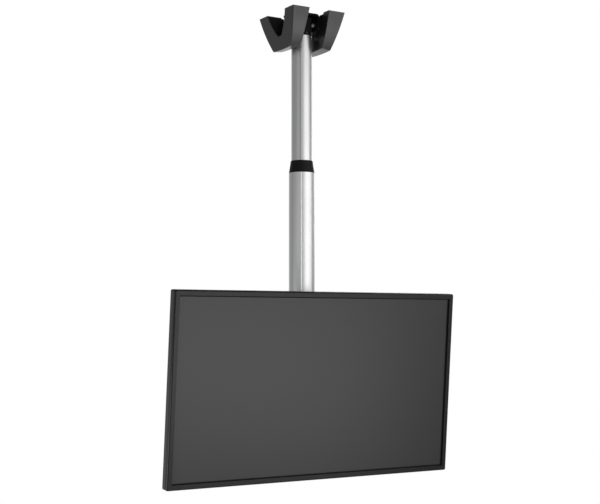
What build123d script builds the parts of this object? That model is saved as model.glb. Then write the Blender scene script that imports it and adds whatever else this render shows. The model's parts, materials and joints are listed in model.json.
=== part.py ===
from build123d import *
import os

# A telescopic ceiling column with a tilting, swivelling head that carries a flat display.
# The origin is on the ceiling, on the column's axis. Z is up, the screen faces -Y.

os.makedirs("parts", exist_ok=True)

# Ceiling bracket
PLATE_X = 100.0
PLATE_Y = 94.0
PLATE_CHAMFER = 22.0
PLATE_T = 5.0
CEILING_HOLE_X = 82.0
CEILING_HOLE_Y = 30.0
CEILING_HOLE_D = 9.0
CHEEK_T = 5.0
CHEEK_GAP = 56.0
CHEEK_TOP_Y = 100.0
CHEEK_FOOT_Y = 96.0
CHEEK_CORNER = 8.0
CHEEK_CLEAR = 2.0

# Claw covers
COVER_X = 182.6
COVER_Y = 206.0
COVER_FOOT_Y = 107.0
COVER_H = 110.0
COVER_FOOT_RISE = 4.0
COVER_SIDE_BULGE = 5.0
COVER_BELLY = 2.2
COVER_END_LEAN = 22.0
COVER_OUTER_BULGE = 1.2
COVER_INNER_LEAN = 4.8
COVER_FIT = 0.4
COVER_WALL = 3.0
COVER_EDGE = 2.0
NOTCH_TOP = 103.0
NOTCH_FOOT = 20.0
NOTCH_DEPTH = 70.5
NOTCH_BULGE = 5.0
NOTCH_CORNER = 6.0
PROFILE_OVER = 12.0
RELIEF_X = 9.0
RELIEF_Y = 20.0
RELIEF_Z = 5.0
COVER_SCREW_Y = 86.0
COVER_SCREW_Z = 40.0
COVER_SCREW_D = 4.0
BOSS_D = 9.0
BOSS_L = 13.0

# Head of the column
HEAD_X = 40.0
HEAD_Y = 60.0
HEAD_CORNER = 4.0
HEAD_TOP = 9.0
HEAD_FLANGE_TOP = 51.0
HEAD_FLANGE_EDGE = 2.0
TUBE_TOP = 65.0
SPIGOT_L = 70.0
SPIGOT_BORE_D = 18.0
HEAD_BOLT_Y = 42.0
HEAD_BOLT_Z = 31.0
HEAD_BOLT_D = 8.0
HEAD_WASHER_D = 16.0
BUSH_D = 13.0
SET_SCREW_D = 6.0
SET_SCREW_L = 18.0
SET_SCREW_PROUD = 1.2
TUBE_SCREW_D = 5.0
TUBE_SCREW_FIRST = 21.0
TUBE_SCREW_PITCH = 31.0

# Column
INNER_D = 63.0
OUTER_D = 78.0
TUBE_WALL = 3.0
INNER_TUBE_L = 660.0
COLLAR_TOP = 448.0
COLLAR_H = 37.0
COLLAR_TOP_D = 69.0
COLLAR_LIP = 0.6
COLLAR_SHOULDER = 8.0
COLLAR_SKIRT_L = 62.0
OUTER_TUBE_L = 560.0
INNER_GROOVE_W = 2.2
INNER_GROOVE_DEPTH = 1.3
INNER_GROOVE_AT = 40.0
OUTER_GROOVE_W = 3.4
OUTER_GROOVE_DEPTH = 0.8
OUTER_GROOVE_AT = 31.5
GUIDE_H = 42.0
GUIDE_LIP = 3.0
LOCK_SCREW_D = 8.0
LOCK_SCREW_PITCH = 28.0

# Swivel
PLUG_L = 46.0
PLUG_EDGE = 2.0
PLUG_FLANGE_T = 4.0
PLUG_SCREW_D = 6.0
WASHER_T = 2.0
WASHER_IN = 4.0
KING_BOLT_D = 12.0
KING_WASHER_D = 28.0
KING_WASHER_T = 2.5
STOP_PIN_D = 6.0
STOP_PIN_AT = 27.0
STOP_PIN_SHORT = 1.0
SWIVEL_EACH_WAY = 90.0
SWIVEL_SPARE = 4.0

# Yoke and tilt
YOKE_T = 5.0
YOKE_X = 102.0
YOKE_FRONT = 31.0
YOKE_BACK = 40.0
YOKE_BEND = 4.0
PIVOT_FORWARD = 18.0
PIVOT_DROP = 73.0
PIVOT_D = 8.0
PIVOT_WASHER_D = 17.0
PIVOT_LOBE = 15.0
TILT_LOCK_AT = 32.0
TILT_LOCK_LOBE = 12.0
TILT_REST = 5.0
TILT_UP = 5.0
TILT_DOWN = 15.0
TILT_SPARE = 3.0
FRICTION_T = 2.0
FRICTION_D = 24.0
EAR_T = 4.0
EAR_LOBE = 12.0
EAR_LOCK_LIFT = 2.0
EAR_BEND = 3.0

# Cross rail and arms
RAIL_L = 470.0
RAIL_H = 60.0
RAIL_DEPTH = 12.0
RAIL_T = 2.5
RAIL_BEND = 2.0
RAIL_SLOT_L = 75.0
RAIL_SLOT_W = 9.0
RAIL_SLOT_GAP = 14.0
RAIL_SLOT_END = 28.0
RAIL_BOLT_D = 6.0
RAIL_BOLT_X = 48.0
RAIL_BOLT_Z = 26.0
BRACKET_INSET = 6.0
ARM_L = 330.0
ARM_W = 36.0
ARM_T = 2.5
ARM_DEPTH = 26.0
ARM_BEND = 2.0
ARM_TIP = 10.0
ARM_TAPER = 26.0
ARM_SLOT_L = 23.0
ARM_SLOT_W = 8.0
ARM_SLOT_STEP = 33.0
ARM_FRONT_CLEAR = 0.4
ARM_FOOT_CLEAR = 0.6
SAFETY_SCREW_D = 5.0
SAFETY_DROP = 12.0
SAFETY_IN = 8.0
VESA_X = 400.0
VESA_Z = 200.0
VESA_SCREW_D = 6.0
VESA_CLEAR = 0.6
VESA_WASHER_D = 15.0

# Display
SCREEN_W = 930.0
SCREEN_H = 523.0
BEZEL_FACE = 15.5
BEZEL_DEPTH = 12.0
BEZEL_T = 2.5
BEZEL_CORNER = 5.0
BEZEL_EDGE = 4.5
SCREEN_RECESS = 6.5
RIM_DEPTH = 30.0
RIM_EDGE = 2.0
BACK_DEPTH = 45.0
BACK_W = 700.0
BACK_H = 390.0
BACK_SLOPE = 40.0
BACK_CORNER = 20.0
BACK_EDGE = 5.0
BACK_WALL = 2.5
PANEL_T = 11.0
PANEL_FIT = 1.0
FRONT_OFFSET = 104.5
POST_D = 14.0
POST_FLOOR = 4.0
VESA_THREAD = 14.0
VENT_W = 6.0
VENT_H = 26.0
VENT_PITCH = 27.0
VENTS_EACH_SIDE = 9
BOARD_W = 140.0
BOARD_H = 156.0
BOARD_T = 1.6
BOARD_X = 182.0
BOARD_STUD = 6.0
BOARD_STUD_D = 7.0
CHIP_W = 46.0
SMALL_CHIP_W = 32.0
CHIP_T = 6.0
CHIP_UP = 26.0
SMALL_CHIP_DOWN = 39.0
SPEAKER_W = 130.0
SPEAKER_H = 42.0
SPEAKER_T = 7.0
SPEAKER_STUD = 2.0
SPEAKER_X = 580.0
SPEAKER_UP = 48.0
TERMINAL_W = 150.0
TERMINAL_H = 26.0
TERMINAL_X = 84.0
TERMINAL_LIP = 4.0
TERMINAL_LIP_T = 2.0
TERMINAL_RECESS = 0.6
PORT_W = 16.0
PORT_H = 6.0
PORT_DEPTH = 2.4
PORT_PITCH = 30.0
INLET_W = 28.0
INLET_H = 20.0
INLET_X = -112.0
INLET_WALL = 2.4
INLET_DEPTH = 12.0
BLADE_W = 2.0
BLADE_H = 4.0
BLADE_PITCH = 6.6
CASE_SCREW_D = 4.0
CASE_SCREW_L = 5.0
CASE_BOSS_D = 9.0
CASE_SCREW_IN_X = 26.0
CASE_SCREW_IN_Z = 13.0

# Fasteners: proportions are shares of the thread's diameter
HEX_CORNER = 0.94
HEX_HEAD_H = 0.65
HEX_CONE_FOOT = 1.35
HEX_CONE_TOP = 0.8
HEX_WASHER_T = 0.2
NUT_H = 0.8
BUTTON_FOOT_R = 0.88
BUTTON_TOP_R = 0.5
BUTTON_H = 0.55
SOCKET_CORNER = 0.33
SOCKET_DEPTH = 0.33
GRUB_SOCKET_CORNER = 0.28
GRUB_SOCKET_DEPTH = 0.4
BOLT_PAST = 9.0
KING_BOLT_PAST = 13.0
RAIL_BOLT_PAST = 4.0
SAFETY_SCREW_PAST = 6.0
THREAD_DEPTH = 12.0
THREAD_SPARE = 3.0

# Clearances, and how far cutters run past faces and fused shapes reach into each other
SLIDE_GAP = 0.3
SEAT_GAP = 0.05
RUNNING_GAP = 0.08
HOLE_CLEAR = 0.2
SLOT_CLEAR = 0.8
CUT = 1.0
JOIN = 0.5

# Levels that follow from the sizes above
INNER_R = INNER_D / 2
OUTER_R = OUTER_D / 2
INNER_FOOT = -TUBE_TOP - INNER_TUBE_L
OUTER_TOP = -COLLAR_TOP - COLLAR_H
OUTER_FOOT = OUTER_TOP - OUTER_TUBE_L
PLUG_FOOT = OUTER_FOOT - PLUG_FLANGE_T
YOKE_TOP = PLUG_FOOT - WASHER_T
YOKE_UNDER = YOKE_TOP - YOKE_T
PIVOT_Y = -PIVOT_FORWARD
PIVOT_Z = OUTER_FOOT - PIVOT_DROP
LOCK_Y = PIVOT_Y + TILT_LOCK_AT
CHEEK_IN = CHEEK_GAP / 2
CHEEK_OUT = CHEEK_IN + CHEEK_T
CHEEK_FOOT = -HEAD_FLANGE_TOP + CHEEK_CLEAR
COVER_IN = CHEEK_OUT + COVER_FIT
YOKE_CHEEK_IN = YOKE_X / 2 - YOKE_T
EAR_OUT = YOKE_CHEEK_IN - FRICTION_T
EAR_IN = EAR_OUT - EAR_T
FRONT_Y = -FRONT_OFFSET
BEZEL_BACK = FRONT_Y + BEZEL_DEPTH
BACK_Y = FRONT_Y + BACK_DEPTH
RIM_Y = FRONT_Y + RIM_DEPTH
RAIL_FRONT = BACK_Y + ARM_DEPTH - RAIL_DEPTH - ARM_T
RAIL_BACK = RAIL_FRONT + RAIL_DEPTH
RAIL_TOP = PIVOT_Z + RAIL_H / 2
RAIL_FOOT = PIVOT_Z - RAIL_H / 2
DISPLAY_W = SCREEN_W + 2 * BEZEL_FACE
DISPLAY_H = SCREEN_H + 2 * BEZEL_FACE
PANEL_W = DISPLAY_W - 2 * BEZEL_T - PANEL_FIT
PANEL_H = DISPLAY_H - 2 * BEZEL_T - PANEL_FIT
PANEL_FRONT = FRONT_Y + SCREEN_RECESS
PANEL_BACK = PANEL_FRONT + PANEL_T
WALL_IN = BACK_Y - BACK_WALL

UP = (Align.CENTER, Align.CENTER, Align.MIN)
LEFT = (-1, 0, 0)
RIGHT = (1, 0, 0)
FRONT = (0, -1, 0)
BACK = (0, 1, 0)
DOWN = (0, 0, -1)
TOP = (0, 0, 1)


# Basic shapes

def facing(x, y, z, direction):
    # A plane at a point whose normal is the way a screw or pin runs out of the part.
    return Plane(origin=(x, y, z), z_dir=direction)


def pin(x, y, z, direction, diameter, length):
    return facing(x, y, z, direction) * Cylinder(diameter / 2, length, align=UP)


def through(x, y, z, direction, diameter, length):
    # A hole's cutter: it starts a little before the point and ends a little past the length.
    cutter = Pos(0, 0, -CUT) * Cylinder(diameter / 2, length + 2 * CUT, align=UP)
    return facing(x, y, z, direction) * cutter


def box(x0, x1, y0, y1, z0, z1):
    size = Box(abs(x1 - x0), abs(y1 - y0), abs(z1 - z0))
    return Pos((x0 + x1) / 2, (y0 + y1) / 2, (z0 + z1) / 2) * size


def ring(outer_r, inner_r, z0, z1):
    profile = Circle(outer_r) - Circle(inner_r)
    return Pos(0, 0, z0) * extrude(profile, z1 - z0)


# Fasteners: the seat of the head is at the point, and the head stands out along the direction

def hex_bolt(x, y, z, direction, diameter, shank, washer_d):
    head_h = diameter * HEX_HEAD_H
    lift = diameter * HEX_WASHER_T
    head = Pos(0, 0, lift) * extrude(RegularPolygon(diameter * HEX_CORNER, 6), head_h)
    limit = Pos(0, 0, lift) * Cone(diameter * HEX_CONE_FOOT, diameter * HEX_CONE_TOP, head_h, align=UP)
    washer = Cylinder(washer_d / 2, lift, align=UP)
    stem = Pos(0, 0, -shank) * Cylinder(diameter / 2, shank + lift + JOIN, align=UP)
    return facing(x, y, z, direction) * ((head & limit) + washer + stem)


def socket_screw(x, y, z, direction, diameter, shank):
    # A button head with a hexagon socket.
    head_h = diameter * BUTTON_H
    head = Cone(diameter * BUTTON_FOOT_R, diameter * BUTTON_TOP_R, head_h, align=UP)
    stem = Pos(0, 0, -shank) * Cylinder(diameter / 2, shank + JOIN, align=UP)
    key = extrude(RegularPolygon(diameter * SOCKET_CORNER, 6), head_h)
    socket = Pos(0, 0, head_h - diameter * SOCKET_DEPTH) * key
    return facing(x, y, z, direction) * (head + stem - socket)


def grub_screw(x, y, z, direction, diameter, shank):
    stem = Pos(0, 0, -shank) * Cylinder(diameter / 2, shank, align=UP)
    key = extrude(RegularPolygon(diameter * GRUB_SOCKET_CORNER, 6), diameter)
    socket = Pos(0, 0, -diameter * GRUB_SOCKET_DEPTH) * key
    return facing(x, y, z, direction) * (stem - socket)


def hex_nut(x, y, z, direction, diameter):
    height = diameter * NUT_H
    body = extrude(RegularPolygon(diameter * HEX_CORNER, 6), height)
    bore = Pos(0, 0, -CUT) * Cylinder(diameter / 2 + SEAT_GAP, height + 2 * CUT, align=UP)
    return facing(x, y, z, direction) * (body - bore)


# The ceiling bracket: a chamfered plate with two cheeks welded under it

def cheek(side):
    outline = Polyline(
        (-CHEEK_TOP_Y / 2, -PLATE_T),
        (CHEEK_TOP_Y / 2, -PLATE_T),
        (CHEEK_FOOT_Y / 2, CHEEK_FOOT),
        (-CHEEK_FOOT_Y / 2, CHEEK_FOOT),
        close=True,
    )
    face = make_face(outline)
    face = fillet(face.vertices(), CHEEK_CORNER)
    start = CHEEK_IN if side > 0 else -CHEEK_OUT
    return Plane.YZ.offset(start) * extrude(face, CHEEK_T)


plate_face = chamfer(Rectangle(PLATE_X, PLATE_Y).vertices(), PLATE_CHAMFER)
plate = Pos(0, 0, -PLATE_T) * extrude(plate_face, PLATE_T)
ceiling_bracket = plate + cheek(-1) + cheek(1)
for sx in (-1, 1):
    for sy in (-1, 1):
        x = sx * CEILING_HOLE_X / 2
        y = sy * CEILING_HOLE_Y / 2
        ceiling_bracket = ceiling_bracket - through(x, y, -PLATE_T, TOP, CEILING_HOLE_D, PLATE_T)
for sy in (-1, 1):
    bolt_y = sy * HEAD_BOLT_Y / 2
    screw_y = sy * COVER_SCREW_Y / 2
    bolt_hole = through(-CHEEK_OUT, bolt_y, -HEAD_BOLT_Z, RIGHT, HEAD_BOLT_D + HOLE_CLEAR, 2 * CHEEK_OUT)
    screw_hole_d = COVER_SCREW_D + HOLE_CLEAR
    screw_hole = through(-CHEEK_OUT, screw_y, -COVER_SCREW_Z, RIGHT, screw_hole_d, 2 * CHEEK_OUT)
    ceiling_bracket = ceiling_bracket - bolt_hole - screw_hole


# The claw covers: hollow mouldings with a notch right through, open towards the ceiling

def flank_at(depth):
    # How far the flank stands from the middle of the claw, at a depth under the ceiling.
    top = COVER_Y / 2
    foot = COVER_FOOT_Y / 2
    share = depth / COVER_H
    return top + (foot - top) * share + 4 * COVER_SIDE_BULGE * share * (1 - share)


def cover_side_face():
    # Seen from the end of a claw: curved flanks and the notch, drawn past the ceiling and the foot.
    top = flank_at(0)
    low = COVER_H + PROFILE_OVER
    middle = flank_at(low / 2)
    foot = flank_at(low)
    mouth = NOTCH_TOP / 2
    floor = NOTCH_FOOT / 2
    waist = (mouth + floor) / 2 + NOTCH_BULGE
    edges = [
        Line((-top, PROFILE_OVER), (-top, 0)),
        ThreePointArc((-top, 0), (-middle, -low / 2), (-foot, -low)),
        Line((-foot, -low), (foot, -low)),
        ThreePointArc((foot, -low), (middle, -low / 2), (top, 0)),
        Line((top, 0), (top, PROFILE_OVER)),
        Line((top, PROFILE_OVER), (mouth, PROFILE_OVER)),
        Line((mouth, PROFILE_OVER), (mouth, 0)),
        ThreePointArc((mouth, 0), (waist, -NOTCH_DEPTH / 2), (floor, -NOTCH_DEPTH)),
        Line((floor, -NOTCH_DEPTH), (-floor, -NOTCH_DEPTH)),
        ThreePointArc((-floor, -NOTCH_DEPTH), (-waist, -NOTCH_DEPTH / 2), (-mouth, 0)),
        Line((-mouth, 0), (-mouth, PROFILE_OVER)),
        Line((-mouth, PROFILE_OVER), (-top, PROFILE_OVER)),
    ]
    face = make_face(edges)
    corners = [v for v in face.vertices() if abs(v.X) < floor + JOIN and abs(v.Y + NOTCH_DEPTH) < JOIN]
    return fillet(corners, NOTCH_CORNER)


def cover_end_face():
    # Seen along the flank: a nearly upright inner side and a leaning, slightly curved outer end.
    outer = COVER_X / 2
    low = COVER_H + PROFILE_OVER
    share = low / COVER_H
    inner_low = COVER_IN + COVER_INNER_LEAN * share
    outer_low = outer - COVER_END_LEAN * share
    outer_middle = (outer + outer_low) / 2 + COVER_OUTER_BULGE
    edges = [
        Line((COVER_IN, PROFILE_OVER), (COVER_IN, 0)),
        Line((COVER_IN, 0), (inner_low, -low)),
        Line((inner_low, -low), (outer_low, -low)),
        ThreePointArc((outer_low, -low), (outer_middle, -low / 2), (outer, 0)),
        Line((outer, 0), (outer, PROFILE_OVER)),
        Line((outer, PROFILE_OVER), (COVER_IN, PROFILE_OVER)),
    ]
    return make_face(edges)


def above_foot(lift):
    # All that lies above the underside: its belly runs along the claw and drops towards the outer end.
    half = COVER_Y / 2
    inner_end = COVER_IN + COVER_INNER_LEAN
    outer_end = COVER_X / 2 - COVER_END_LEAN
    drop = COVER_FOOT_RISE / (outer_end - inner_end)
    start = -COVER_H + drop * outer_end + lift
    foot = COVER_FOOT_Y / 2
    edge_z = start + COVER_BELLY * ((half / foot) ** 2 - 1)
    face = make_face(
        [
            ThreePointArc((-half, edge_z), (0, start - COVER_BELLY), (half, edge_z)),
            Line((half, edge_z), (half, 2 * COVER_H)),
            Line((half, 2 * COVER_H), (-half, 2 * COVER_H)),
            Line((-half, 2 * COVER_H), (-half, edge_z)),
        ]
    )
    return extrude(Plane.YZ * face, COVER_X, dir=(1, 0, -drop))


def crossed(side_face, end_face, lift):
    # What the two profiles and the underside have in common.
    along = extrude(Plane.YZ * side_face, COVER_X)
    across = Plane.XZ.offset(-COVER_Y) * extrude(end_face, 2 * COVER_Y)
    return along & across & above_foot(lift)


def right_cover_shape():
    side_face = cover_side_face()
    end_face = cover_end_face()
    below_ceiling = box(0, COVER_X, -COVER_Y, COVER_Y, -2 * COVER_H, 0)
    outside = crossed(side_face, end_face, 0) & below_ceiling
    sharp = [edge for edge in outside.edges() if edge.center().Z < -JOIN]
    outside = fillet(sharp, COVER_EDGE)
    hollow = crossed(offset(side_face, -COVER_WALL), offset(end_face, -COVER_WALL), COVER_WALL)
    shell = outside - hollow
    for sy in (-1, 1):
        y = sy * COVER_SCREW_Y / 2
        shell = shell + pin(COVER_IN, y, -COVER_SCREW_Z, RIGHT, BOSS_D, BOSS_L)
    for sy in (-1, 1):
        y = sy * COVER_SCREW_Y / 2
        shell = shell - through(COVER_IN, y, -COVER_SCREW_Z, RIGHT, COVER_SCREW_D, BOSS_L)
        # A relief in the top corner beside the notch, where a cable can leave the claw.
        mouth = sy * (NOTCH_TOP / 2 - CUT)
        relief_end = sy * (NOTCH_TOP / 2 + RELIEF_Y)
        shell = shell - box(COVER_IN - CUT, COVER_IN + RELIEF_X, mouth, relief_end, -RELIEF_Z, CUT)
    return shell


right_cover = right_cover_shape()
left_cover = mirror(right_cover, about=Plane.YZ)

cover_screws = []
for sx in (-1, 1):
    for sy in (-1, 1):
        place = (sx * CHEEK_IN, sy * COVER_SCREW_Y / 2, -COVER_SCREW_Z)
        cover_screws.append(socket_screw(*place, (-sx, 0, 0), COVER_SCREW_D - 2 * SEAT_GAP, CHEEK_T + BOSS_L))


# The column's head: a block between the cheeks, a flange on the tube and a spigot in it

spigot_r = INNER_R - TUBE_WALL - SEAT_GAP
spigot_foot = -TUBE_TOP - SPIGOT_L
head_block = box(-HEAD_X / 2, HEAD_X / 2, -HEAD_Y / 2, HEAD_Y / 2, -HEAD_FLANGE_TOP - JOIN, -HEAD_TOP)
head_block = fillet(head_block.edges().filter_by(Axis.Z), HEAD_CORNER)
flange = pin(0, 0, -TUBE_TOP, TOP, INNER_D, TUBE_TOP - HEAD_FLANGE_TOP)
flange = fillet(flange.edges().group_by(Axis.Z)[-1], HEAD_FLANGE_EDGE)
spigot = pin(0, 0, spigot_foot, TOP, 2 * spigot_r, SPIGOT_L + JOIN)
pole_head = head_block + flange + spigot
pole_head = pole_head - pin(0, 0, spigot_foot - CUT, TOP, SPIGOT_BORE_D, SPIGOT_L + CUT)

head_bolts = []
head_bushes = []
for sy in (-1, 1):
    y = sy * HEAD_BOLT_Y / 2
    z = -HEAD_BOLT_Z
    pole_head = pole_head - through(-HEAD_X / 2, y, z, RIGHT, HEAD_BOLT_D + HOLE_CLEAR, HEAD_X)
    bolt = hex_bolt(-CHEEK_OUT, y, z, LEFT, HEAD_BOLT_D, 2 * CHEEK_OUT + BOLT_PAST, HEAD_WASHER_D)
    nut = hex_nut(CHEEK_OUT, y, z, RIGHT, HEAD_BOLT_D)
    head_bolts.extend([bolt, nut])
    for sx in (-1, 1):
        length = CHEEK_IN - HEAD_X / 2
        bush = pin(sx * HEAD_X / 2, y, z, (sx, 0, 0), BUSH_D, length)
        bore = through(sx * HEAD_X / 2, y, z, (sx, 0, 0), HEAD_BOLT_D + HOLE_CLEAR, length)
        head_bushes.append(bush - bore)

head_set_screws = []
for sy in (-1, 1):
    z = -(HEAD_FLANGE_TOP + TUBE_TOP) / 2
    tip = sy * (INNER_R + SET_SCREW_PROUD)
    outward = (0, sy, 0)
    inward = (0, -sy, 0)
    pole_head = pole_head - pin(0, tip, z, inward, SET_SCREW_D, SET_SCREW_L)
    head_set_screws.append(grub_screw(0, tip, z, outward, SET_SCREW_D - 2 * SEAT_GAP, SET_SCREW_L))


# The two tubes, each with four shallow grooves down its length

def grooved_tube(diameter, length, groove_at, groove_w, groove_depth):
    r = diameter / 2
    profile = Circle(r) - Circle(r - TUBE_WALL)
    lip = groove_w / 2 * (1 + JOIN / groove_depth)
    groove = make_face(Polyline((r + JOIN, -lip), (r - groove_depth, 0), (r + JOIN, lip), close=True))
    for quarter in range(4):
        profile = profile - Rot(Z=270 - groove_at + 90 * quarter) * groove
    return extrude(profile, length)


inner_tube = grooved_tube(INNER_D, INNER_TUBE_L, INNER_GROOVE_AT, INNER_GROOVE_W, INNER_GROOVE_DEPTH)
inner_tube = Pos(0, 0, INNER_FOOT) * inner_tube
tube_screws = []
for step in range(2):
    z = -TUBE_TOP - TUBE_SCREW_FIRST - step * TUBE_SCREW_PITCH
    inner_tube = inner_tube - through(0, INNER_R - TUBE_WALL, z, BACK, TUBE_SCREW_D, TUBE_WALL)
    pole_head = pole_head - pin(0, spigot_r - THREAD_DEPTH, z, BACK, TUBE_SCREW_D, THREAD_DEPTH + CUT)
    shank = TUBE_WALL + THREAD_DEPTH - THREAD_SPARE
    tube_screws.append(socket_screw(0, INNER_R, z, BACK, TUBE_SCREW_D - 2 * SEAT_GAP, shank))

guide_r = OUTER_R - TUBE_WALL - SLIDE_GAP
guide_bush = ring(guide_r, INNER_R + SEAT_GAP, INNER_FOOT, INNER_FOOT + GUIDE_H)
guide_bush = guide_bush + ring(guide_r, INNER_R - TUBE_WALL, INNER_FOOT - GUIDE_LIP, INNER_FOOT)


# The collar: a tapered cap on the lower tube with a skirt that guides the upper tube

bore_r = INNER_R + SLIDE_GAP
skirt_r = OUTER_R - TUBE_WALL - SEAT_GAP
skirt_foot = OUTER_TOP - COLLAR_SKIRT_L
lip_r = bore_r + COLLAR_LIP
shoulder_r = COLLAR_TOP_D / 2
shoulder_z = -COLLAR_TOP - COLLAR_SHOULDER
shoulder = EllipticalCenterArc((lip_r, shoulder_z), shoulder_r - lip_r, COLLAR_SHOULDER, arc_size=90)
collar_profile = make_face(
    [
        Line((bore_r, -COLLAR_TOP), (lip_r, -COLLAR_TOP)),
        shoulder,
        Line((shoulder_r, shoulder_z), (OUTER_R, OUTER_TOP)),
        Line((OUTER_R, OUTER_TOP), (skirt_r, OUTER_TOP)),
        Line((skirt_r, OUTER_TOP), (skirt_r, skirt_foot)),
        Line((skirt_r, skirt_foot), (bore_r, skirt_foot)),
        Line((bore_r, skirt_foot), (bore_r, -COLLAR_TOP)),
    ]
)
collar = revolve(Plane.XZ * collar_profile, Axis.Z)

outer_tube = grooved_tube(OUTER_D, OUTER_TUBE_L, OUTER_GROOVE_AT, OUTER_GROOVE_W, OUTER_GROOVE_DEPTH)
outer_tube = Pos(0, 0, OUTER_FOOT) * outer_tube
height_lock_screws = []
for step in (-1, 1):
    z = OUTER_TOP - COLLAR_SKIRT_L / 2 + step * LOCK_SCREW_PITCH / 2
    hole = through(0, INNER_R, z, BACK, LOCK_SCREW_D + 2 * SEAT_GAP, OUTER_R - INNER_R)
    outer_tube = outer_tube - hole
    collar = collar - hole
    reach = OUTER_R - INNER_R - SLIDE_GAP
    height_lock_screws.append(socket_screw(0, OUTER_R, z, BACK, LOCK_SCREW_D, reach))


# The plug in the foot of the lower tube and the swivel under it

plug_r = OUTER_R - TUBE_WALL - SEAT_GAP
plug_top = OUTER_FOOT + PLUG_L
king_bore_r = KING_BOLT_D / 2 + RUNNING_GAP
bottom_plug = ring(plug_r, king_bore_r, OUTER_FOOT - JOIN, plug_top)
bottom_plug = chamfer(bottom_plug.faces().sort_by(Axis.Z)[-1].outer_wire().edges(), PLUG_EDGE)
bottom_plug = bottom_plug + ring(OUTER_R, king_bore_r, PLUG_FOOT, OUTER_FOOT)
plug_screws = []
for quarter in range(4):
    turn = Rot(Z=90 * quarter)
    z = OUTER_FOOT + PLUG_L / 2
    outer_tube = outer_tube - turn * through(0, OUTER_R - TUBE_WALL, z, BACK, PLUG_SCREW_D, TUBE_WALL)
    thread = pin(0, plug_r - THREAD_DEPTH, z, BACK, PLUG_SCREW_D, THREAD_DEPTH + CUT)
    bottom_plug = bottom_plug - turn * thread
    shank = TUBE_WALL + THREAD_DEPTH - THREAD_SPARE
    plug_screws.append(turn * socket_screw(0, OUTER_R, z, BACK, PLUG_SCREW_D - 2 * SEAT_GAP, shank))

pin_depth = WASHER_T + YOKE_T - STOP_PIN_SHORT
pin_rise = PLUG_L / 2
bottom_plug = bottom_plug - pin(0, STOP_PIN_AT, PLUG_FOOT - CUT, TOP, STOP_PIN_D, pin_rise + CUT)
stop_pin = pin(0, STOP_PIN_AT, PLUG_FOOT - pin_depth, TOP, STOP_PIN_D - 2 * SEAT_GAP, pin_depth + pin_rise)
swivel_washer = ring(OUTER_R - WASHER_IN, king_bore_r, YOKE_TOP, PLUG_FOOT)
swivel_washer = swivel_washer - through(0, STOP_PIN_AT, YOKE_TOP, TOP, STOP_PIN_D, WASHER_T)

king_shank = YOKE_T + WASHER_T + PLUG_FLANGE_T + PLUG_L + KING_BOLT_PAST
king_bolt = hex_bolt(0, 0, YOKE_UNDER, DOWN, KING_BOLT_D, king_shank, KING_WASHER_D)
king_nut = hex_nut(0, 0, plug_top + KING_WASHER_T, TOP, KING_BOLT_D)
king_washer_in = KING_BOLT_D / 2 + SEAT_GAP
king_washer_foot = plug_top + RUNNING_GAP
king_washer = ring(KING_WASHER_D / 2, king_washer_in, king_washer_foot, plug_top + KING_WASHER_T)
king_nut = king_nut + king_washer


# The yoke: a web under the plug and two cheeks that carry the tilt pivot

def disc_at(y, z, r):
    return Pos(y, z) * Circle(r)


def yoke_cheek(side):
    top = Pos((YOKE_BACK - YOKE_FRONT) / 2, YOKE_TOP - YOKE_T / 2) * Rectangle(YOKE_BACK + YOKE_FRONT, YOKE_T)
    lobes = disc_at(PIVOT_Y, PIVOT_Z, PIVOT_LOBE).edges() + disc_at(LOCK_Y, PIVOT_Z, TILT_LOCK_LOBE).edges()
    face = make_hull(lobes + top.edges())
    start = YOKE_CHEEK_IN if side > 0 else -YOKE_CHEEK_IN - YOKE_T
    return Plane.YZ.offset(start) * extrude(face, YOKE_T)


web = box(-YOKE_X / 2, YOKE_X / 2, -YOKE_FRONT, YOKE_BACK, YOKE_UNDER, YOKE_TOP)
yoke = web + yoke_cheek(-1) + yoke_cheek(1)
yoke = fillet(yoke.edges().filter_by(Axis.Y).group_by(Axis.Z)[-1], YOKE_BEND)
yoke = yoke - through(0, 0, YOKE_UNDER, TOP, KING_BOLT_D + 2 * SEAT_GAP, YOKE_T)
swivel_half = SWIVEL_EACH_WAY + SWIVEL_SPARE
swivel_line = CenterArc((0, 0), STOP_PIN_AT, 90 - swivel_half, 2 * swivel_half)
swivel_slot = extrude(SlotArc(swivel_line, STOP_PIN_D + SLOT_CLEAR), YOKE_T + 2 * CUT)
yoke = yoke - Pos(0, 0, YOKE_UNDER - CUT) * swivel_slot
for y in (PIVOT_Y, LOCK_Y):
    yoke = yoke - through(-YOKE_X / 2, y, PIVOT_Z, RIGHT, PIVOT_D + 2 * SEAT_GAP, YOKE_X)

tilt_pivots = []
tilt_locks = []
friction_washers = []
tilt_shank = YOKE_T + FRICTION_T + EAR_T + BOLT_PAST
for sx in (-1, 1):
    outward = (sx, 0, 0)
    inward = (-sx, 0, 0)
    nut_x = sx * (EAR_IN - SLIDE_GAP)
    for y, group in ((PIVOT_Y, tilt_pivots), (LOCK_Y, tilt_locks)):
        group.append(hex_bolt(sx * YOKE_X / 2, y, PIVOT_Z, outward, PIVOT_D, tilt_shank, PIVOT_WASHER_D))
        group.append(hex_nut(nut_x, y, PIVOT_Z, inward, PIVOT_D))
    disc = pin(sx * YOKE_CHEEK_IN, PIVOT_Y, PIVOT_Z, inward, FRICTION_D, FRICTION_T)
    bore = through(sx * YOKE_CHEEK_IN, PIVOT_Y, PIVOT_Z, inward, PIVOT_D + 2 * SEAT_GAP, FRICTION_T)
    friction_washers.append(disc - bore)


# The tilt bracket: a folded plate on the rail with two ears on the pivot. From here on the head
# and the display are drawn upright

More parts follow.
